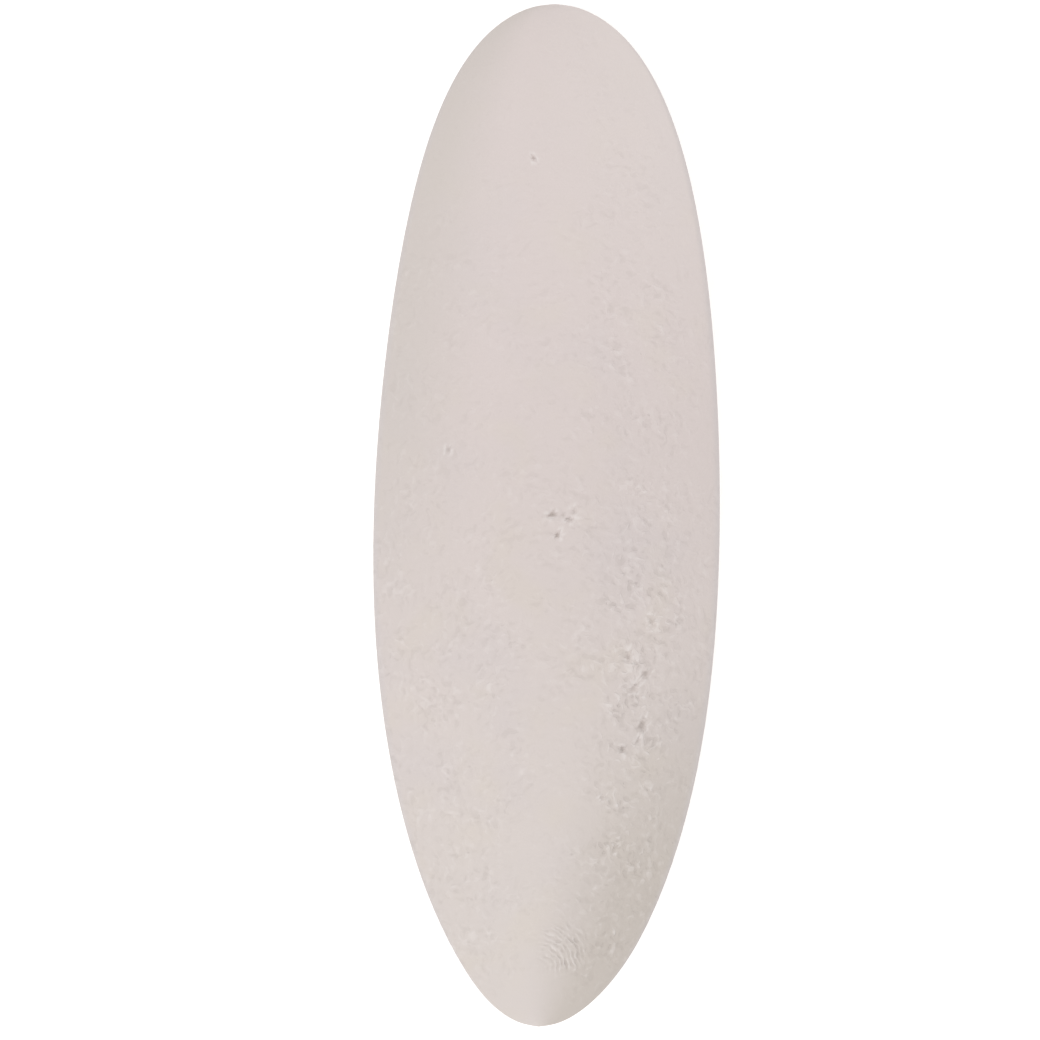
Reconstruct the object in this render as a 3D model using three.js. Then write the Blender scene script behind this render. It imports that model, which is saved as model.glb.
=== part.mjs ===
// A cuttlebone: the chalky inner shell of a cuttlefish. It grew as one piece, so it is one solid.
//
// It lies on its belly with the hard, granular back up. Millimetres, +Z up; the rounded head end points
// to +Y and the narrower tail end to -Y. The origin is under the middle of the bone, on the surface that
// it rests on. A place along the bone is its share t of the length, from 0 at the head tip to 1 at the
// tail tip, and a place across it is its share s of the half width, from -1 at the left to 1 at the right.
import * as THREE from "three";

// Driving dimensions.
const LENGTH = 150;
const WIDTH = 51;
const BACK_RISE = 7; // height of the back's arch over the rim
const BELLY_DEPTH = 9.8; // depth of the belly's bulge under the rim, before its lowest part is rubbed flat
const RUBBED = 0.2; // how much of the soft belly is rubbed away there
const SHELL_THICKNESS = 1.2; // the back's hard shell, bare where it stands out past the belly as a brim

// Facets.
const STATIONS = 48; // steps along the bone, equally spaced round its outline
const BACK_STEPS = 18; // steps across the back, from rim to rim
const RIM_SHARE = 0.985; // the rim's lower edge, as a share of the half width
const BELLY_SHARES = [1, 0.93, 0.78, 0.55, 0.28]; // the belly's columns, as shares of its half width
const CROWDING = 0.4; // how much the back's columns crowd towards the rim: 0 spaces them evenly

// The outline is an ellipse with a fuller head end and a slimmer tail end: its half width is the
// ellipse's times this cubic in t, which is 1.18 at the head tip, 1 halfway and 0.95 at the tail tip.
const FULLNESS = [1.177, -1.069, 2.017, -1.173];

// Small departures from a bone that is the same on both sides. Towards the tail the arch's crest moves to
// the right by a share of the half width, and the tail tip leans to the left.
const SWAY = [-0.18, 0.13, 0.11]; // the midline's sway: sine waves of one, two and three half turns
const TIP_LEAN = { by: 0.5, from: 0.92 };
const CREST_SHIFT = { by: 0.35, from: 0.5, to: 0.97 };

// How far the rim sinks towards each tip, and from which share of the length.
const HEAD_SINK = { depth: 1.2, from: 0.35 };
const TAIL_SINK = { depth: 2.6, from: 0.58 };

// The arch's rise goes as the half width to one power, so that it is low and long at the head and keeps
// its height at the tail. Its section falls from the crest as another power: 2 is a parabola.
const RISE_POWER = { head: 1.5, tail: 1 };
const ARCH_POWER = { head: 2.4, tail: 2 };

// The broad, low rib along the middle of the back.
const RIB_HEIGHT = 0.35;
const RIB_SHARE = 0.36; // half the rib's width, as a share of the half width

// The belly is deepest at one share of the length and ends at two others. Its profile runs from there
// to each end as a superellipse: blunt at the head, and a long, shallow slope to the tail.
const DEEPEST = 0.42;
const BELLY_ENDS = { head: 0.018, tail: 0.96 };
const PROFILE = { head: [2.2, 0.5], tail: [2.1, 0.8] };
const SECTION_POWER = 3; // how flat its section is: 2 is a parabola
const FLANK = { head: 0.8, tail: 1.4, from: 0.6 }; // its sides are steep, and fade out towards the tail

// How far the brim stands out past the belly's sides, and how much it narrows as the bone does at the tips.
const BRIM = { head: 1.9, tail: 3.2, from: 0.5, narrowing: 2 };
const THIN_RIM = 3; // the shell thins out where the half width is less than this

const { smoothstep, lerp } = THREE.MathUtils;

// Half the bone's width at t.
function halfWidth(t) {
  const [a, b, c, d] = FULLNESS;
  return WIDTH * Math.sqrt(Math.max(t * (1 - t), 0)) * (a + b * t + c * t ** 2 + d * t ** 3);
}

// Half the outline, from the head tip round the right side to the tail tip, as a three.js curve.
class Outline extends THREE.Curve {
  getPoint(u, target = new THREE.Vector3()) {
    const t = (1 - Math.cos(Math.PI * u)) / 2;
    return target.set(halfWidth(t), LENGTH * (0.5 - t), 0);
  }
}

// How far the middle of a section lies to the right of the line between the tips.
function middleOffset(t) {
  const sway = SWAY.reduce((sum, size, i) => sum + size * Math.sin((i + 1) * Math.PI * t), 0);
  return sway - TIP_LEAN.by * smoothstep(t, TIP_LEAN.from, 1);
}

// Height of the rim's middle over the belly's deepest point, before that is rubbed flat.
function rimHeight(t) {
  const head = Math.max(1 - t / HEAD_SINK.from, 0);
  const tail = Math.max((t - TAIL_SINK.from) / (1 - TAIL_SINK.from), 0);
  return BELLY_DEPTH - HEAD_SINK.depth * head ** 2 - TAIL_SINK.depth * tail ** 2;
}

// Height of the back at (t, s): the rim, the arch over it and the rib on the arch. Where the crest is off
// the middle, it leaves a steep right flank.
function backHeight(t, s) {
  const share = halfWidth(t) / (WIDTH / 2);
  const fromCrest = s - CREST_SHIFT.by * smoothstep(t, CREST_SHIFT.from, CREST_SHIFT.to) * (1 - s * s);
  const rise = BACK_RISE * share ** lerp(RISE_POWER.head, RISE_POWER.tail, t);
  const arch = 1 - Math.abs(fromCrest) ** lerp(ARCH_POWER.head, ARCH_POWER.tail, t);
  const rib = RIB_HEIGHT * share * Math.exp(-((fromCrest / RIB_SHARE) ** 4));
  return rimHeight(t) + shellThickness(t) / 2 + rise * arch + rib;
}

// The shell thins out at the tips, where the back and the underside meet.
function shellThickness(t) {
  return SHELL_THICKNESS * smoothstep(halfWidth(t), 0, THIN_RIM);
}

// Half the belly's width at t, as a share of the half width: all but the brim.
function bellyShare(t) {
  const brim = lerp(BRIM.head, BRIM.tail, smoothstep(t, BRIM.from, 1));
  return 1 - brim / (halfWidth(t) + BRIM.narrowing);
}

// How full the belly is at (t, s): 1 in the middle where it is deepest, 0 on the brim.
function bellyFullness(t, s) {
  const [side, way] = t < DEEPEST ? ["head", DEEPEST - t] : ["tail", t - DEEPEST];
  const along = way / Math.abs(BELLY_ENDS[side] - DEEPEST);
  const across = Math.abs(s) / bellyShare(t);
  if (along >= 1 || across >= 1) {
    return 0;
  }
  const [curve, bluntness] = PROFILE[side];
  const flank = lerp(FLANK.head, FLANK.tail, smoothstep(t, FLANK.from, 1));
  return (1 - along ** curve) ** bluntness * (1 - across ** SECTION_POWER) ** flank;
}

// Height of the underside at (t, s): the brim follows the back at the shell's thickness, and inside the
// brim the belly fills the back's vault and bulges down under it.
function undersideHeight(t, s) {
  const back = backHeight(t, s);
  const vault = back - backHeight(t, 1);
  const height = back - shellThickness(t) - (BELLY_DEPTH + vault) * bellyFullness(t, s);
  return Math.max(height, RUBBED);
}

// The columns round a section, in the order of a sphere's longitudes: over the back from the left rim to
// the right rim, then under the belly to the left again. Each gives its share across at t, and a height.
// The back's columns lie closer near the rim, and the underside's follow the belly's outline.
function sectionColumns() {
  const columns = [];
  for (let i = 0; i <= BACK_STEPS; i++) {
    const u = (2 * i) / BACK_STEPS - 1;
    const s = lerp(u, Math.sin((Math.PI / 2) * u), CROWDING);
    columns.push({ share: () => s, height: backHeight });
  }
  const underside = [() => RIM_SHARE, ...BELLY_SHARES.map((share) => (t) => share * bellyShare(t))];
  for (const share of [...underside, () => 0]) {
    columns.push({ share, height: undersideHeight });
  }
  for (const share of underside.reverse()) {
    columns.push({ share: (t) => -share(t), height: undersideHeight });
  }
  return columns;
}

// A sphere's grid of vertices, with its poles at the two tips, carried to the bone's surface.
function cuttleboneGeometry() {
  const columns = sectionColumns();
  const stations = new Outline().getSpacedPoints(STATIONS);
  const geometry = new THREE.SphereGeometry(1, columns.length, STATIONS);
  const position = geometry.getAttribute("position");
  for (let i = 0; i < position.count; i++) {
    const station = stations[Math.floor(i / (columns.length + 1))];
    const column = columns[i % (columns.length + 1) % columns.length];
    const t = 0.5 - station.y / LENGTH;
    const s = column.share(t);
    position.setXYZ(i, middleOffset(t) + s * halfWidth(t), station.y, column.height(t, s));
  }
  geometry.computeBoundingBox();
  const { min, max } = geometry.boundingBox;
  geometry.translate(-(min.x + max.x) / 2, -(min.y + max.y) / 2, -min.z);
  geometry.computeVertexNormals();
  return geometry;
}

const chalkyShell = new THREE.MeshStandardMaterial({ color: 0xdbd0cd, roughness: 0.85, metalness: 0 });
const cuttlebone = new THREE.Mesh(cuttleboneGeometry(), chalkyShell);
cuttlebone.name = "cuttlebone";

const part = new THREE.Group();
part.add(cuttlebone);

export default part;
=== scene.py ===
import math

import bpy
import numpy as np
from mathutils import Matrix, Vector, noise
from mathutils.bvhtree import BVHTree


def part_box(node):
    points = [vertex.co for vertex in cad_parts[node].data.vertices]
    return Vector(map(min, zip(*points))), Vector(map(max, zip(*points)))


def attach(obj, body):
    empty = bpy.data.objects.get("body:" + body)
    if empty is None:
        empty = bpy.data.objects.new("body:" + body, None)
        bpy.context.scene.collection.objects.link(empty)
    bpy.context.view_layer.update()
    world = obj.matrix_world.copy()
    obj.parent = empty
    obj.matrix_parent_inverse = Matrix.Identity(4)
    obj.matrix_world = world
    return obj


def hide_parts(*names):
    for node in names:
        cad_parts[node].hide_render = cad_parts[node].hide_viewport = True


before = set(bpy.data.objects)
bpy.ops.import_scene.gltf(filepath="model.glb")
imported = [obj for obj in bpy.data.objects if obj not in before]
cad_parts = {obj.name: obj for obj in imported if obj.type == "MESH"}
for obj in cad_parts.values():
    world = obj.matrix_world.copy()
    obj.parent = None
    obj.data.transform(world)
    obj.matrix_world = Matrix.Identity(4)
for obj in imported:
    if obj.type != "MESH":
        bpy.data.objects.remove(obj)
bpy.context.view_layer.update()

MM = 0.001
NODE = "cuttlebone"
TAIL_TIP, HEAD_TIP = (corner.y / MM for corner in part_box(NODE))
LENGTH = HEAD_TIP - TAIL_TIP

# Catmull-Clark levels: they leave quads about a third of a millimetre wide.
SMOOTHING = 3

# Pits in the hard back: distance from the head tip, distance to the right of the line between the tips,
# length, width, turn in degrees anticlockwise from the bone's length, and depth.
PITS = [
    (23.2, -2.6, 0.8, 0.7, 0, 0.30),
    (74.8, 0.7, 0.7, 1.1, 10, 0.50),
    (75.4, 3.1, 0.7, 1.4, -25, 0.36),
    (74.3, 3.9, 0.9, 0.8, 0, 0.22),
    (77.7, 1.5, 0.8, 0.8, 0, 0.45),
    (90.0, 15.4, 1.5, 0.7, 25, 0.22),
    (95.2, 12.1, 1.6, 0.7, 8, 0.26),
    (97.6, 14.7, 0.8, 0.9, 0, 0.34),
    (99.7, 12.9, 1.2, 0.9, -20, 0.26),
    (105.2, 14.3, 1.8, 0.9, -12, 0.38),
    (107.4, 13.6, 0.8, 0.6, 0, 0.30),
    (108.6, 11.4, 1.0, 0.6, 0, 0.40),
    (65.6, -14.4, 0.8, 0.5, 0, 0.25),
    (115.6, 8.6, 0.8, 0.7, 0, 0.20),
    (123.0, 10.4, 0.8, 0.8, 0, 0.20),
]

# How far the lip round a pit stands up.
LIP = 0.05

# A fan of fine wrinkles near the tail, as the pits are given. They curve round a centre of their own.
FAN = (137.6, 3.2, 9.0, 8.5)
FAN_CENTRE = (141.0, -0.6)

# The relief that the surface holds: its spacing, and how far it rises and sinks from the smooth bone. The
# edges of the belly's real chambers lie closer together, and are drawn this far apart so that they show.
GRANULES = (1.5, 0.03)
STROKES = (1.1, 0.09)
STROKE_LENGTH = 1.4
ARCS = (1.7, 0.015)
WRINKLES = (0.7, 0.06)
SWELL = (10.0, 0.08)
CHAMBERS = (2.6, 0.06)

# What only the material shows, as spacings. Grit is really finer than a tenth of a millimetre, and is drawn
# as coarse as it needs to show.
FINE_STROKES = 0.75
FINE_STROKE_LENGTH = 0.9
BEADS = 1.3
PORES = 1.5
FINE_CHAMBERS = 0.9
GRIT = 0.4

# The belly's last chamber ends where the bone's edge was when the bone was this long.
LAST_CHAMBER = 90

# The grain of the back's right flank runs out to the rim at this angle to the growth lines, in degrees.
SLANT = 28

# A young bone is rounder than a grown one: its width goes as its length to this power.
ROUND_WHEN_YOUNG = 0.7

# The table lies this far under the bone, so that the two never share a plane. Its glow is how strongly it
# shines by itself.
TABLE_GAP = 0.05
TABLE_GLOW = 0.3

# The softboxes: place and width in metres, and power in watts.
KEY_LIGHT = ((-0.5, -0.5, 0.85), 1.1, 5.1)
FILL_LIGHT = ((0.6, 0.5, 0.9), 1.1, 2.9)
ROOM_LIGHT = 0.575

# The view: the point that the camera looks down at, at the height of the rim, the length that it sees there,
# and its turn in degrees.
AIM = (-3.9, -0.58, 9.5)
LENGTH_SEEN = 151.9
TURN = 0.73


def linear(colour):
    """An sRGB hex colour, such as 0xdbd0cd, as linear RGBA."""
    shares = [(colour >> shift & 255) / 255 for shift in (16, 8, 0)]
    return (*(c / 12.92 if c <= 0.04045 else ((c + 0.055) / 1.055) ** 2.4 for c in shares), 1)


def add(tree, kind, *values, **settings):
    """Adds a node. Values go to its inputs in order, settings to the input or property of that name.

    A value may be a socket, or a node, which then gives its first output.
    """
    node = tree.nodes.new(kind if kind.startswith(("Geometry", "NodeGroup")) else "ShaderNode" + kind)
    named = {}
    for name, value in settings.items():
        if hasattr(node, name):
            setattr(node, name, value)
        else:
            named[name.replace("_", " ")] = value
    sockets = [socket for socket in node.inputs if socket.enabled]
    pairs = list(zip(sockets, values))
    pairs += [(next(s for s in sockets if s.name == name), value) for name, value in named.items()]
    for socket, value in pairs:
        if isinstance(value, bpy.types.Node):
            value = next(output for output in value.outputs if output.enabled)
        if isinstance(value, bpy.types.NodeSocket):
            tree.links.new(value, socket)
        else:
            socket.default_value = value
    return node


def select_only(piece):
    bpy.ops.object.select_all(action="DESELECT")
    piece.select_set(True)
    bpy.context.view_layer.objects.active = piece


def vertex_places(mesh):
    """The vertices of a mesh, in millimetres."""
    places = np.empty(len(mesh.vertices) * 3)
    mesh.vertices.foreach_get("co", places)
    return places.reshape(-1, 3) / MM


def move_vertices(mesh, places):
    """Puts the vertices of a mesh at these places, given in millimetres."""
    mesh.vertices.foreach_set("co", (places * MM).ravel())
    mesh.update()


def store(mesh, name, values):
    """Keeps a number or a vector for each vertex, for the modifiers and the material to read."""
    kind = "FLOAT" if values.ndim == 1 else "FLOAT_VECTOR"
    attribute = mesh.attributes.new(name, kind, "POINT")
    attribute.data.foreach_set("value" if kind == "FLOAT" else "vector", values.astype(np.float32).ravel())


def smoothstep(x, low, high):
    x = np.clip((x - low) / (high - low), 0, 1)
    return x * x * (3 - 2 * x)


class Outline:
    """The bone's outline from above: its middle and half width at each place along it."""

    def __init__(self, mesh):
        places = vertex_places(mesh)
        self.y = np.unique(places[:, 1].round(3))
        rows = [places[abs(places[:, 1] - y) < 0.01, 0] for y in self.y]
        self.middles = np.array([(row.max() + row.min()) / 2 for row in rows])
        self.half_widths = np.array([(row.max() - row.min()) / 2 for row in rows])

    def middle(self, y):
        return np.interp(y, self.y, self.middles)

    def half_width(self, y):
        """The squares run nearly straight at the round tips, so they are what is interpolated."""
        return np.sqrt(np.interp(y, self.y, self.half_widths**2))

    def side(self, x, y):
        """How far across the bone a place is: -1 at the left rim, 1 at the right one."""
        return (x - self.middle(y)) / np.maximum(self.half_width(y), 0.5)

    def age(self, x, y):
        """How long the bone was when its edge passed through this place.

        The bone grew from its tail tip, so its old edges are its outline, scaled about that tip.
        """
        across = abs(x - self.middle(y))
        up = np.clip(y - TAIL_TIP, 0.001, LENGTH)
        low, high = up / LENGTH, np.ones_like(up)
        for _ in range(24):
            scale = (low + high) / 2
            outside = across > scale**ROUND_WHEN_YOUNG * self.half_width(TAIL_TIP + up / scale)
            low, high = np.where(outside, scale, low), np.where(outside, high, scale)
        return high * LENGTH


def smoothed_copy():
    """The CAD solid's sections, merged into one grid of quads and smoothed by subdivision."""
    bone = bpy.data.objects.new("cuttlebone_surface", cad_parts[NODE].data.copy())
    bpy.context.scene.collection.objects.link(bone)
    bone.data.materials.clear()
    select_only(bone)
    bpy.ops.object.mode_set(mode="EDIT")
    bpy.ops.mesh.select_all(action="SELECT")
    bpy.ops.mesh.remove_doubles(threshold=0.001 * MM)
    bpy.ops.mesh.select_all(action="DESELECT")
    bpy.ops.object.mode_set(mode="OBJECT")
    y = vertex_places(bone.data)[:, 1]
    at_tip = (y < TAIL_TIP + 0.01) | (y > HEAD_TIP - 0.01)
    for face in bone.data.polygons:
        face.select = not any(at_tip[i] for i in face.vertices)
    bpy.ops.object.mode_set(mode="EDIT")
    bpy.ops.mesh.tris_convert_to_quads(face_threshold=math.pi, shape_threshold=math.pi, topology_influence=2)
    bpy.ops.object.mode_set(mode="OBJECT")
    outline = Outline(bone.data)
    smooth = bone.modifiers.new("smooth", "SUBSURF")
    smooth.levels = smooth.render_levels = SMOOTHING
    bpy.ops.object.modifier_apply(modifier="smooth")
    bpy.ops.object.shade_smooth()
    return bone, outline


def spot(places, along, across, length, width, turn):
    """How each vertex lies to a spot on the back, in the plan. The spot is given as the pits are.

    Returns the vertex's way from the spot's centre, and its distance as a share of the spot's radius.
    """
    c, s = math.cos(math.radians(turn)), math.sin(math.radians(turn))
    way = places[:, :2] - (across, HEAD_TIP - along)
    ahead, aside = way[:, 1] * c - way[:, 0] * s, way[:, 0] * c + way[:, 1] * s
    return way, np.hypot(2 * ahead / length, 2 * aside / width)


def refine_back(bone, outline):
    """Draws the back's vertices together where its shape is finest, and drops them onto its surface.

    Those near the rim, at the tips and on the underside stay where they are.
    """
    mesh = bone.data
    surface = BVHTree.FromPolygons([v.co for v in mesh.vertices], [f.vertices for f in mesh.polygons])
    places = vertex_places(mesh)
    before = places.copy()
    facing = np.array([vertex.normal.z for vertex in mesh.vertices])
    edge = abs(outline.side(places[:, 0], places[:, 1]))
    free = smoothstep(facing, 0.3, 0.5) * (1 - smoothstep(edge, 0.75, 0.92))
    free *= 1 - smoothstep(abs(places[:, 1]), 0.95 * HEAD_TIP, 0.99 * HEAD_TIP)
    finest = [((*FAN, 0), 0.4, 0.6, 2.0)] + [(pit[:5], 0.5, 0.8, 4.0) for pit in PITS]
    for where, pull, near, far in finest:
        way, share = spot(places, *where)
        places[:, :2] -= pull * way * ((1 - smoothstep(share, near, far)) * free)[:, None]
    for i in np.flatnonzero(np.abs(places - before).sum(1) > 1e-5):
        x, y, _ = places[i] * MM
        hit = surface.ray_cast(Vector((x, y, 1)), Vector((0, 0, -1)))[0]
        places[i, 2] = hit.z / MM
    move_vertices(mesh, places)


def carve_pits(bone):
    """Presses the pits into the back, each with a ragged edge and a low lip. Returns each vertex's depth."""
    mesh = bone.data
    places = vertex_places(mesh)
    normals = np.array([vertex.normal for vertex in mesh.vertices])
    depth = np.zeros(len(places))
    for *where, deep in PITS:
        _, share = spot(places, *where)
        for i in np.flatnonzero((share < 3) & (normals[:, 2] > 0.3)):
            x, y, _ = places[i]
            ragged = share[i] * (1 + 0.8 * noise.noise(Vector((x * 2, y * 2, where[0]))))
            hollow = deep * (1 - smoothstep(ragged, 0.2, 1.2))
            lip = LIP * smoothstep(ragged, 0.9, 1.4) * (1 - smoothstep(ragged, 1.4, 2.2))
            depth[i] = max(depth[i], hollow) - (lip if depth[i] <= 0 else 0)
    move_vertices(mesh, places - normals * depth[:, None])
    return depth


def mark_growth(bone, outline, pits):
    """Stores each vertex's place in the growth of the bone.

    Crowding is how many millimetres the bone grew while its edge passed over one, and the grain is the way
    that the edge ran, turned out towards the rim on the right flank.
    """
    mesh = bone.data
    places = vertex_places(mesh)
    x, y = places[:, 0], places[:, 1]
    step = 0.05
    age = outline.age(x, y)
    slope = np.stack([outline.age(x + step, y) - age, outline.age(x, y + step) - age, 0 * age], 1) / step
    crowding = np.maximum(np.linalg.norm(slope, axis=1), 0.001)
    side = outline.side(x, y)
    slant = math.radians(SLANT) * smoothstep(side, 0.1, 0.6)
    along_x, along_y = slope[:, 1] / crowding, -slope[:, 0] / crowding
    c, s = np.cos(slant), np.sin(slant)
    facing = np.array([vertex.normal.z for vertex in mesh.vertices])
    store(mesh, "age", age)
    store(mesh, "crowding", crowding)
    store(mesh, "grain", np.stack([along_x * c - along_y * s, along_x * s + along_y * c, 0 * age], 1))
    store(mesh, "side", side)
    store(mesh, "underside", 1 - smoothstep(facing, -0.15, 0.25))
    store(mesh, "pit", pits)


def roughened(tree, from_head, side, place, underside):
    """How rough the back is here, from 0 to 1.

    It is smooth at the head and rougher towards the tail, most of all high on the right flank, and all of
    that in patches. Towards the tail the crest is worn smoother than its flanks, and the very tip is smooth.
    """
    neck = add(tree, "MapRange", from_head, 15.0, 45.0, 0.2, 0.5)
    middle = add(tree, "MapRange", from_head, 65.0, 95.0, 0.0, 0.4)
    rough = add(tree, "Math", neck, middle, operation="ADD")

    drift = add(tree, "TexNoise", place, Scale=1 / 7, Detail=2.0)
    drift = add(tree, "MapRange", drift, 0.3, 0.7, -0.2, 0.2)
    wavering = add(tree, "Math", side, drift, operation="ADD")
    right = add(tree, "MapRange", wavering, 0.05, 0.5, 0.45, 0.8, interpolation_type="SMOOTHSTEP")
    rim = add(tree, "MapRange", side, 0.6, 0.95, 1.0, 0.45)
    crest = add(tree, "MapRange", add(tree, "Math", wavering, operation="ABSOLUTE"), 0.1, 0.45, 1.0, 0.0,
                interpolation_type="SMOOTHSTEP")
    worn = add(tree, "MapRange", from_head, 70.0, 105.0, 0.05, 0.5)
    off_crest = add(tree, "Math", 1.0, add(tree, "Math", crest, worn, operation="MULTIPLY"),
                    operation="SUBTRACT")
    patches = add(tree, "MapRange", add(tree, "TexNoise", place, Scale=1 / 5, Detail=2.0), 0.38, 0.62, 0.45,
                  1.0, interpolation_type="SMOOTHSTEP")
    tip = add(tree, "MapRange", from_head, LENGTH - 13, LENGTH - 2, 1.0, 0.2)
    back = add(tree, "Math", 1.0, underside, operation="SUBTRACT")
    for share in (right, off_crest, rim, patches, tip, back):
        rough = add(tree, "Math", rough, share, operation="MULTIPLY")
    return rough


def strokes(tree, place, grain, width, length):
    """Separate raised and sunken strokes along the grain, from -1 to 1, with flat ground between.

    They are a noise, smeared along the grain, which itself strays to either side.
    """
    stray = add(tree, "TexNoise", place, Scale=1 / 2.5, Detail=0.0).outputs["Color"]
    stray = add(tree, "VectorMath", stray, (0.5, 0.5, 0.5), operation="SUBTRACT")
    stray = add(tree, "VectorMath", stray, Scale=3.0, operation="SCALE")
    way = add(tree, "VectorMath", grain, stray, operation="ADD")
    total = 0.0
    for share in (-1, -0.5, 0, 0.5, 1):
        shift = add(tree, "VectorMath", way, Scale=share * length / 2, operation="SCALE")
        moved = add(tree, "VectorMath", place, shift, operation="ADD")
        total = add(tree, "Math", add(tree, "TexNoise", moved, Scale=1 / width, Detail=0.0), total,
                    operation="ADD")

    # The five samples add up to 2.5 on average.
    raised = add(tree, "MapRange", total, 2.75, 3.15, 0.0, 1.0)
    sunken = add(tree, "MapRange", total, 2.25, 1.85, 0.0, 1.0)
    return add(tree, "Math", raised, sunken, operation="SUBTRACT")


def wrinkles(tree, place, from_head, underside):
    """The fan of crumbly wrinkles near the tail, from -1 to 1."""
    axes = add(tree, "SeparateXYZ", place)
    here = add(tree, "CombineXYZ", from_head, axes.outputs["X"])
    way = add(tree, "VectorMath", here, (*FAN[:2], 0), operation="SUBTRACT")
    share = add(tree, "VectorMath", way, (FAN[2] / 2, FAN[3] / 2, 1), operation="DIVIDE")
    off = add(tree, "VectorMath", share, operation="LENGTH")
    within = add(tree, "MapRange", off.outputs["Value"], 1.15, 0.5, 0.0, 1.0,
                 interpolation_type="SMOOTHSTEP")
    centre = (FAN_CENTRE[1], HEAD_TIP - FAN_CENTRE[0], 0)
    flat = add(tree, "CombineXYZ", axes.outputs["X"], axes.outputs["Y"])
    radius = add(tree, "VectorMath", flat, centre, operation="DISTANCE")
    turns = add(tree, "Math", radius.outputs["Value"], 2 * math.pi / WRINKLES[0], operation="MULTIPLY")
    crinkle = add(tree, "Math", add(tree, "TexNoise", place, Scale=1 / 1.8, Detail=2.0), 16.0,
                  operation="MULTIPLY")
    wave = add(tree, "Math", add(tree, "Math", turns, crinkle, operation="ADD"), operation="SINE")
    broken = add(tree, "MapRange", add(tree, "TexNoise", place, Scale=1 / 0.9), 0.35, 0.65, 0.1, 1.0)
    fan = add(tree, "Math", wave, broken, operation="MULTIPLY")
    for share in (within, add(tree, "Math", 1.0, underside, operation="SUBTRACT")):
        fan = add(tree, "Math", fan, share, operation="MULTIPLY")
    return fan


def striae(tree, place, age, crowding, spacing):
    """The edges of the belly's chambers, from -1 to 1, as far as the last one, which is smooth.

    They follow the growth lines. Where they would lie closer than can be drawn they fade out.
    """
    wander = add(tree, "Math", add(tree, "TexNoise", place, Scale=1 / 11, Detail=2.0), 10.0,
                 operation="MULTIPLY")
    layer = add(tree, "Math", age, wander, operation="ADD")
    phase = add(tree, "Math", layer, 2 * math.pi / spacing, operation="MULTIPLY")
    shown = add(tree, "Math", phase, operation="SINE")
    old = add(tree, "MapRange", layer, LAST_CHAMBER + 7, LAST_CHAMBER + 4, 0.0, 1.0,
              interpolation_type="SMOOTHSTEP")
    apart = add(tree, "MapRange", crowding, 2.0, 4.5, 1.0, 0.0, interpolation_type="SMOOTHSTEP")
    for share in (old, apart):
        shown = add(tree, "Math", shown, share, operation="MULTIPLY")
    return shown


def back_grain(tree, place, grain, rough):
    """Low granules on the back, and strokes along the grain."""
    spacing, rise = GRANULES
    cells = add(tree, "TexVoronoi", place, Scale=1 / spacing, Smoothness=0.4, feature="SMOOTH_F1")
    granules = add(tree, "MapRange", cells, 0.1, 0.75, 1.0, -1.0, interpolation_type="SMOOTHSTEP")
    granules = add(tree, "Math", granules, rise, operation="MULTIPLY")
    width, rise = STROKES
    lines = add(tree, "Math", strokes(tree, place, grain, width, STROKE_LENGTH), rise, operation="MULTIPLY")
    both = add(tree, "Math", granules, lines, operation="ADD")
    return add(tree, "Math", both, rough, operation="MULTIPLY")


def growth_arcs(tree, place, age, crowding):
    """Faint steps across the middle of the back, where the growth lines lie far apart."""
    spacing, rise = ARCS
    wander = add(tree, "TexNoise", place, Scale=1 / 5, Detail=1.0)
    phase = add(tree, "Math", add(tree, "Math", wander, 9.0, operation="MULTIPLY"),
                add(tree, "Math", age, 2 * math.pi / spacing, operation="MULTIPLY"), operation="ADD")
    wave = add(tree, "Math", phase, operation="SINE")
    apart = add(tree, "MapRange", crowding, 1.2, 2.2, 1.0, 0.0, interpolation_type="SMOOTHSTEP")
    some = add(tree, "MapRange", add(tree, "TexNoise", place, Scale=1 / 6), 0.48, 0.68, 0.0, rise,
               interpolation_type="SMOOTHSTEP")
    return add(tree, "Math", wave, add(tree, "Math", apart, some, operation="MULTIPLY"),
               operation="MULTIPLY")


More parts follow.
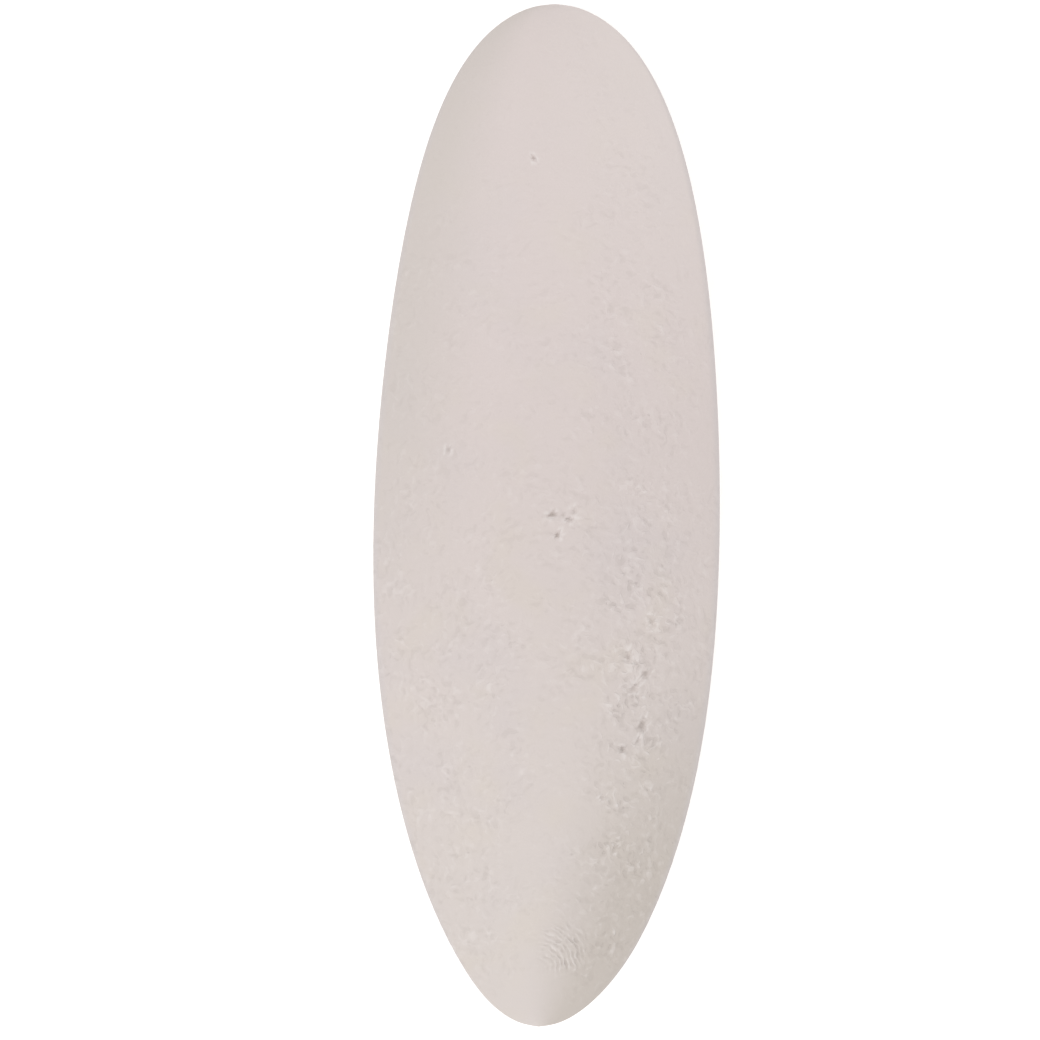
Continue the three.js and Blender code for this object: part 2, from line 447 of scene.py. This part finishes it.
def weathering_tree():
    """Geometry nodes that raise the relief of the back and the belly."""
    tree = bpy.data.node_groups.new("weathering", "GeometryNodeTree")
    tree.interface.new_socket("Geometry", in_out="INPUT", socket_type="NodeSocketGeometry")
    tree.interface.new_socket("Geometry", in_out="OUTPUT", socket_type="NodeSocketGeometry")
    place = add(tree, "VectorMath", add(tree, "GeometryNodeInputPosition"), Scale=1 / MM, operation="SCALE")
    named = "GeometryNodeInputNamedAttribute"
    age, crowding, side, underside, pit = (
        add(tree, named, data_type="FLOAT", Name=name)
        for name in ("age", "crowding", "side", "underside", "pit")
    )
    grain = add(tree, named, data_type="FLOAT_VECTOR", Name="grain")
    axes = add(tree, "SeparateXYZ", place)
    from_head = add(tree, "Math", HEAD_TIP, axes.outputs["Y"], operation="SUBTRACT")

    # The back, where the pits are clean of all but a little of it.
    rough = roughened(tree, from_head, side, place, underside)
    fan = add(tree, "Math", wrinkles(tree, place, from_head, underside), WRINKLES[1], operation="MULTIPLY")
    back = back_grain(tree, place, grain, rough)
    for part in (growth_arcs(tree, place, age, crowding), fan):
        back = add(tree, "Math", back, part, operation="ADD")
    clean = add(tree, "MapRange", pit, 0.05, 0.3, 1.0, 0.3)
    back = add(tree, "Math", back, clean, operation="MULTIPLY")

    # The belly: soft chalk, in steps that follow the growth lines, up to the smooth last chamber. Where it
    # lies on the table it is flat.
    spacing, rise = CHAMBERS
    above_table = add(tree, "MapRange", axes.outputs["Z"], 0.05, 0.8, 0.0, 1.0)
    steps = add(tree, "Math", striae(tree, place, age, crowding, spacing), rise, operation="MULTIPLY")
    belly = add(tree, "Math", steps, above_table, operation="MULTIPLY")
    relief = add(tree, "Mix", underside, back, belly, data_type="FLOAT")

    # Broad, low unevenness, but not at the rim, which is thin, or where the belly lies on the table.
    spacing, rise = SWELL
    swell = add(tree, "TexNoise", place, Scale=1 / spacing, Detail=1.0)
    swell = add(tree, "MapRange", swell, 0.3, 0.7, -rise, rise, clamp=False)
    edge = add(tree, "MapRange", add(tree, "Math", side, operation="ABSOLUTE"), 0.75, 0.95, 1.0, 0.0,
               interpolation_type="SMOOTHSTEP")
    for share in (edge, above_table):
        swell = add(tree, "Math", swell, share, operation="MULTIPLY")

    # All of it fades out at the tips, where the back and the underside meet in an edge.
    inside = add(tree, "MapRange", add(tree, "Math", axes.outputs["Y"], operation="ABSOLUTE"),
                 0.94 * HEAD_TIP, 0.995 * HEAD_TIP, 1.0, 0.0, interpolation_type="SMOOTHSTEP")
    height = add(tree, "Math", add(tree, "Math", relief, swell, operation="ADD"), inside,
                 operation="MULTIPLY")
    up = add(tree, "VectorMath", add(tree, "GeometryNodeInputNormal"),
             Scale=add(tree, "Math", height, MM, operation="MULTIPLY"), operation="SCALE")
    start = add(tree, "NodeGroupInput")
    kept = add(tree, "GeometryNodeStoreNamedAttribute", start, data_type="FLOAT", domain="POINT",
               Name="relief", Value=relief)
    moved = add(tree, "GeometryNodeSetPosition", kept, Offset=up)
    add(tree, "NodeGroupOutput", moved)
    return tree


def back_colour(tree, place, from_head, side, edge, cream):
    """A pinkish grey at the head, where it is palest, and a yellower one at the tail, in soft patches, with
    painted light on the head's right flank and painted shade on the tail's.
    """
    tailward = add(tree, "MapRange", from_head, 50.0, 130.0, 0.0, 1.0)
    colour = add(tree, "Mix", tailward, linear(0xDDD1CE), linear(0xDAD1CC), data_type="RGBA")
    colour = add(tree, "Mix", cream, colour, linear(0xDBD1C5), data_type="RGBA")
    cool = add(tree, "MapRange", add(tree, "TexNoise", place, Scale=1 / 13, Detail=2.0, W=3.0,
               noise_dimensions="4D"), 0.45, 0.7, 0.0, 0.3, interpolation_type="SMOOTHSTEP")
    colour = add(tree, "Mix", cool, colour, linear(0xD5CCCC), data_type="RGBA")
    # The head is paler, which is the bone's own tone, and paler still towards its right flank, which is
    # painted light.
    pale = add(tree, "MapRange", from_head, 75.0, 5.0, 0.0, 0.35, interpolation_type="SMOOTHSTEP")
    painted_light_to_right = add(tree, "MapRange", side, -0.2, 0.9, 1.0, 2.2)
    colour = add(tree, "Mix", add(tree, "Math", pale, painted_light_to_right, operation="MULTIPLY"), colour,
                 linear(0xE8DEDA), data_type="RGBA")

    # Painted shade: the steep flank to the right of the tail's crest, which turns away from the light, is
    # painted darker and yellower. The left flank at the head is darker as well.
    tail = add(tree, "MapRange", from_head, 85.0, 135.0, 0.0, 0.9, interpolation_type="SMOOTHSTEP")
    crest = add(tree, "MapRange", from_head, 90.0, 140.0, 0.8, 0.22)
    painted_shade_flank = add(tree, "MapRange", add(tree, "Math", side, crest, operation="SUBTRACT"), -0.5, 0.4, 0.0, 1.0,
               interpolation_type="SMOOTHSTEP")
    colour = add(tree, "Mix", add(tree, "Math", tail, painted_shade_flank, operation="MULTIPLY"), colour,
                 linear(0xCBC2BA), data_type="RGBA")
    head = add(tree, "MapRange", from_head, 110.0, 50.0, 0.0, 0.7, interpolation_type="SMOOTHSTEP")
    left = add(tree, "MapRange", side, -0.3, -0.95, 0.0, 1.0, interpolation_type="SMOOTHSTEP")
    colour = add(tree, "Mix", add(tree, "Math", head, left, operation="MULTIPLY"), colour,
                 linear(0xD2CAC4), data_type="RGBA")
    rim = add(tree, "MapRange", edge, 0.94, 1.0, 0.0, 0.8, interpolation_type="SMOOTHSTEP")
    return add(tree, "Mix", rim, colour, linear(0xD3CCCB), data_type="RGBA")


def belly_colour(tree, edge, cream):
    """The soft chalk of the belly is whiter, and the bare brim round it has a tint of horn."""
    white = add(tree, "Mix", cream, linear(0xE6E0DA), linear(0xE3DACE), data_type="RGBA")
    brim = add(tree, "MapRange", edge, 0.86, 0.95, 0.0, 0.8, interpolation_type="SMOOTHSTEP")
    return add(tree, "Mix", brim, white, linear(0xD6CCC0), data_type="RGBA")


def chalk():
    """Aragonite, grown by the animal and bleached by sea and sun: a dull, chalky, pinkish grey."""
    material = bpy.data.materials.new("bleached_aragonite")
    material.use_nodes = True
    tree = material.node_tree
    tree.nodes.clear()
    place = add(tree, "VectorMath", add(tree, "TexCoord").outputs["Object"], Scale=1 / MM,
                operation="SCALE")
    side, underside, pit, relief, age, crowding = (
        add(tree, "Attribute", attribute_name=name).outputs["Fac"]
        for name in ("side", "underside", "pit", "relief", "age", "crowding")
    )
    grain = add(tree, "Attribute", attribute_name="grain").outputs["Vector"]
    axes = add(tree, "SeparateXYZ", place)
    from_head = add(tree, "Math", HEAD_TIP, axes.outputs["Y"], operation="SUBTRACT")
    rough = roughened(tree, from_head, side, place, underside)
    edge = add(tree, "Math", side, operation="ABSOLUTE")
    cream = add(tree, "MapRange", add(tree, "TexNoise", place, Scale=1 / 9, Detail=3.0), 0.48, 0.7, 0.0, 0.3,
                interpolation_type="SMOOTHSTEP")
    colour = add(tree, "Mix", underside, back_colour(tree, place, from_head, side, edge, cream),
                 belly_colour(tree, edge, cream), data_type="RGBA")

    # Strokes, beads, wrinkles and chamber edges that are finer than the surface itself holds.
    warp = add(tree, "TexNoise", place, Scale=1 / 1.1, Detail=0.0)
    warp = add(tree, "VectorMath", warp.outputs["Color"], Scale=0.9, operation="SCALE")
    warped = add(tree, "VectorMath", place, warp, operation="ADD")
    lines = add(tree, "Math", strokes(tree, warped, grain, FINE_STROKES, FINE_STROKE_LENGTH), 0.9,
                operation="MULTIPLY")
    beads = add(tree, "MapRange", add(tree, "TexVoronoi", warped, Scale=1 / BEADS), 0.1, 0.6, 0.5, -0.2,
                interpolation_type="SMOOTHSTEP")
    fine = add(tree, "Math", add(tree, "Math", lines, beads, operation="ADD"), rough, operation="MULTIPLY")
    fan = add(tree, "Math", wrinkles(tree, place, from_head, underside), 0.55, operation="MULTIPLY")
    edges = add(tree, "Math", striae(tree, place, age, crowding, FINE_CHAMBERS), underside,
                operation="MULTIPLY")
    for part in (fan, add(tree, "Math", edges, 0.25, operation="MULTIPLY")):
        fine = add(tree, "Math", fine, part, operation="ADD")

    # Painted highlight: what stands high, in the surface or in the bump, and the lips of the pits are
    # painted paler.
    detail = add(tree, "Math", fine, add(tree, "Math", relief, 4.0, operation="MULTIPLY"), operation="ADD")
    high = add(tree, "MapRange", detail, 0.05, 0.9, 0.0, 0.5)
    lip = add(tree, "MapRange", pit, 0.0, -LIP, 0.0, 0.65)
    high = add(tree, "Math", high, lip, operation="MAXIMUM")
    colour = add(tree, "Mix", high, colour, linear(0xEEE7E4), data_type="RGBA")

    # Painted shade: what is low, the pits, and small pores of uneven shape are painted darker.
    pores = add(tree, "TexVoronoi", warped, Scale=1 / PORES)
    rare = add(tree, "MapRange", add(tree, "SeparateXYZ", pores.outputs["Color"]), 0.22, 0.0, 0.0, 0.25)
    inside = add(tree, "Math", rare, pores, operation="SUBTRACT")
    pore = add(tree, "MapRange", add(tree, "Math", inside, rough, operation="MULTIPLY"), 0.0, 0.1, 0.0, 1.0,
               interpolation_type="SMOOTHSTEP")
    shade = add(tree, "Math", pore, 0.35, operation="MULTIPLY")
    low = add(tree, "MapRange", detail, -0.05, -0.9, 0.0, 0.28)
    deep = add(tree, "MapRange", pit, 0.06, 0.36, 0.0, 0.5)
    for part in (low, deep):
        shade = add(tree, "Math", shade, part, operation="MAXIMUM")
    colour = add(tree, "Mix", shade, colour, linear(0xA79D96), data_type="RGBA")

    # The bump, in millimetres: grit, the fine relief and the pores.
    bumps = add(tree, "MapRange", add(tree, "TexNoise", place, Scale=1 / GRIT, Detail=2.0), 0.3, 0.7, -0.008,
                0.008, clamp=False)
    raised = add(tree, "Math", fine, 0.09, operation="MULTIPLY")
    sunk = add(tree, "Math", pore, -0.1, operation="MULTIPLY")
    for part in (raised, sunk):
        bumps = add(tree, "Math", bumps, part, operation="ADD")
    bump = add(tree, "Bump", Height=bumps, Distance=MM)
    shader = add(tree, "BsdfPrincipled", Base_Color=colour, Roughness=0.9, Normal=bump)
    add(tree, "OutputMaterial", shader)
    return material


def weathered_bone():
    bone, outline = smoothed_copy()
    refine_back(bone, outline)
    pits = carve_pits(bone)
    mark_growth(bone, outline, pits)
    select_only(bone)
    bone.modifiers.new("weathering", "NODES").node_group = weathering_tree()
    bpy.ops.object.modifier_apply(modifier="weathering")
    bone.data.materials.append(chalk())
    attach(bone, "root")
    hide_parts(NODE)


def white_card():
    """Bleached card, uncoated and smooth: no shine, and pale enough to be lost in a white background.

    It glows a little, which keeps the bone's shadow faint.
    """
    material = bpy.data.materials.new("uncoated_white_card")
    material.use_nodes = True
    shader = material.node_tree.nodes["Principled BSDF"]
    shader.inputs["Base Color"].default_value = linear(0xFAFAFA)
    shader.inputs["Roughness"].default_value = 1
    shader.inputs["Specular IOR Level"].default_value = 0
    shader.inputs["Emission Color"].default_value = (1, 1, 1, 1)
    shader.inputs["Emission Strength"].default_value = TABLE_GLOW
    return material


def table():
    """A plain table top, so wide that its far edge stays out of sight in low views."""
    bpy.ops.object.select_all(action="DESELECT")
    bpy.ops.mesh.primitive_plane_add(size=40, location=(0, 0, -TABLE_GAP * MM))
    top = bpy.context.object
    top.name = "table"
    top.data.materials.append(white_card())


def softbox(name, place, width, power):
    """A round softbox that faces the bone."""
    light = bpy.data.lights.new(name, "AREA")
    light.shape = "DISK"
    light.size = width
    light.energy = power
    lamp = bpy.data.objects.new(name, light)
    lamp.location = place
    lamp.rotation_euler = (-Vector(place)).to_track_quat("-Z", "Y").to_euler()
    bpy.context.scene.collection.objects.link(lamp)


def studio():
    """An even white room with two softboxes: one left of the tail, and a weaker one right of the head."""
    world = bpy.data.worlds.new("white_room")
    bpy.context.scene.world = world
    world.use_nodes = True
    world.node_tree.nodes["Background"].inputs["Color"].default_value = (1, 1, 1, 1)
    world.node_tree.nodes["Background"].inputs["Strength"].default_value = ROOM_LIGHT
    softbox("key", *KEY_LIGHT)
    softbox("fill", *FILL_LIGHT)
    bpy.context.scene.view_settings.view_transform = "Standard"


def camera():
    """A long lens straight above the bone, turned a little so that the head leans to the right."""
    data = bpy.data.cameras.new("camera")
    data.lens = 135
    data.clip_end = 20
    view = bpy.data.objects.new("camera", data)
    turn = math.radians(TURN)
    aim = Vector(AIM) * MM
    aim.rotate(Matrix.Rotation(turn, 3, "Z"))
    view.location = aim + Vector((0, 0, LENGTH_SEEN * MM * data.lens / data.sensor_width))
    view.rotation_euler = (0, 0, turn)
    bpy.context.scene.collection.objects.link(view)
    bpy.context.scene.camera = view


weathered_bone()
table()
studio()
camera()
